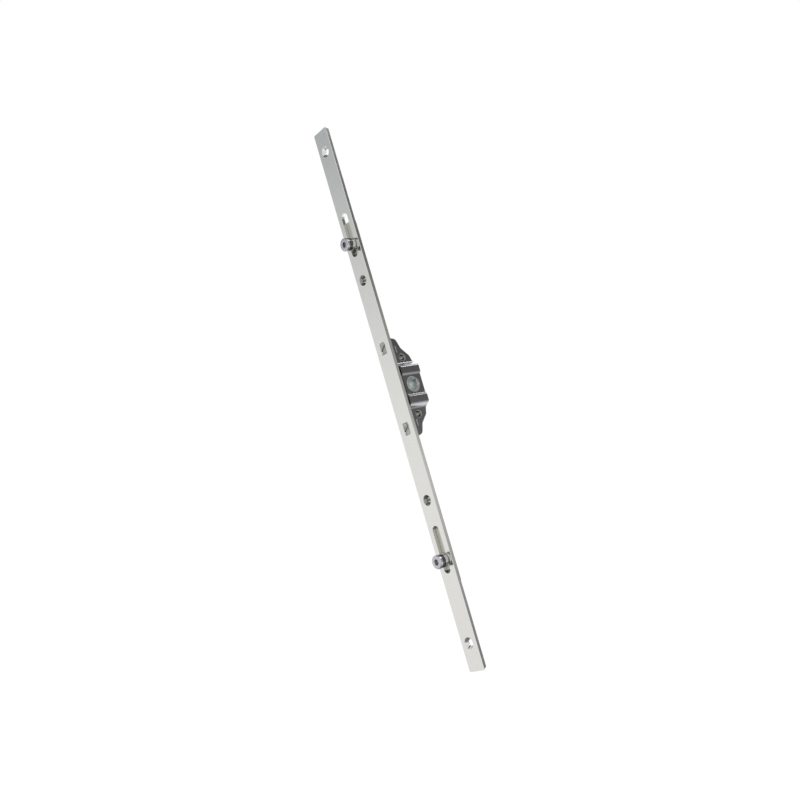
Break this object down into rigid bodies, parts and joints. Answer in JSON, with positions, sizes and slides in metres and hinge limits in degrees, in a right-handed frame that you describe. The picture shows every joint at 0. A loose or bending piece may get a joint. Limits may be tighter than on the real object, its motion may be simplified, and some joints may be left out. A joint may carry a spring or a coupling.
{
  "type": "espagnolette",
  "caption": "Window espagnolette: slim faceplate, sliding drive rod, square-spindle gear casing and mushroom locking cams, let into the groove of a sash.",
  "frame": {"origin": "on the spindle axis, midway across the faceplate", "axes": "+Z along the bar, towards the end that the cams move to on opening; +Y from the faceplate's front face into the sash; +X across the faceplate along the spindle"},
  "size_m": [0.016, 0.0302, 0.4092],
  "materials": {
    "faceplate_zinc": "bright zinc plate, satin",
    "rod_zinc": "dull yellowish zinc plate",
    "casing_dark": "dark bright-rolled steel, glossy",
    "gear_zinc": "cast zinc, satin",
    "cam_zinc": "bluish zinc plate",
    "roller_steel": "dark steel, smooth",
    "bush_zinc": "dull zinc over steel"
  },
  "bodies": {
    "base": {"faceplate": "faceplate_zinc", "casing_half_left": "casing_dark", "casing_half_right": "casing_dark", "gear_washer_left": "bush_zinc", "gear_washer_right": "bush_zinc", "mounting_post_lower": "bush_zinc", "mounting_post_upper": "bush_zinc", "handle_bush_lower": "bush_zinc", "handle_bush_upper": "bush_zinc", "guide_bush_lower": "bush_zinc", "guide_bush_upper": "bush_zinc"},
    "rod": {"drive_rod": "rod_zinc", "cam_collar_lower": "roller_steel", "cam_collar_upper": "roller_steel", "cam_washer_lower": "bush_zinc", "cam_washer_upper": "bush_zinc"},
    "gear": {"sector_gear": "gear_zinc"},
    "cam_pin_lower": {"cam_pin_lower": "cam_zinc"},
    "cam_roller_lower": {"cam_roller_lower": "roller_steel"},
    "cam_pin_upper": {"cam_pin_upper": "cam_zinc"},
    "cam_roller_upper": {"cam_roller_upper": "roller_steel"}
  },
  "joints": [
    {"name": "rod_slide", "type": "slide", "parent": "base", "child": "rod", "axis": [0, 0, 1], "range_m": [0, 0.0141]},
    {"name": "gear_turn", "type": "hinge", "parent": "base", "child": "gear", "pos_m": [0, 0, 0], "axis": [1, 0, 0], "range_deg": [-90, 0]},
    {"name": "cam_adjust_lower", "type": "hinge", "parent": "rod", "child": "cam_pin_lower", "pos_m": [0, -0.00998, -0.12655], "axis": [0, -1, 0], "continuous": true},
    {"name": "roller_spin_lower", "type": "hinge", "parent": "cam_pin_lower", "child": "cam_roller_lower", "pos_m": [0, -0.01575, -0.12705], "axis": [0, -1, 0], "continuous": true},
    {"name": "cam_adjust_upper", "type": "hinge", "parent": "rod", "child": "cam_pin_upper", "pos_m": [0, -0.00998, 0.11245], "axis": [0, -1, 0], "continuous": true},
    {"name": "roller_spin_upper", "type": "hinge", "parent": "cam_pin_upper", "child": "cam_roller_upper", "pos_m": [0, -0.01575, 0.11195], "axis": [0, -1, 0], "continuous": true}
  ],
  "couplings": [
    {"joint": "gear_turn", "follows": "rod_slide", "rad_per_m": -111.4}
  ]
}
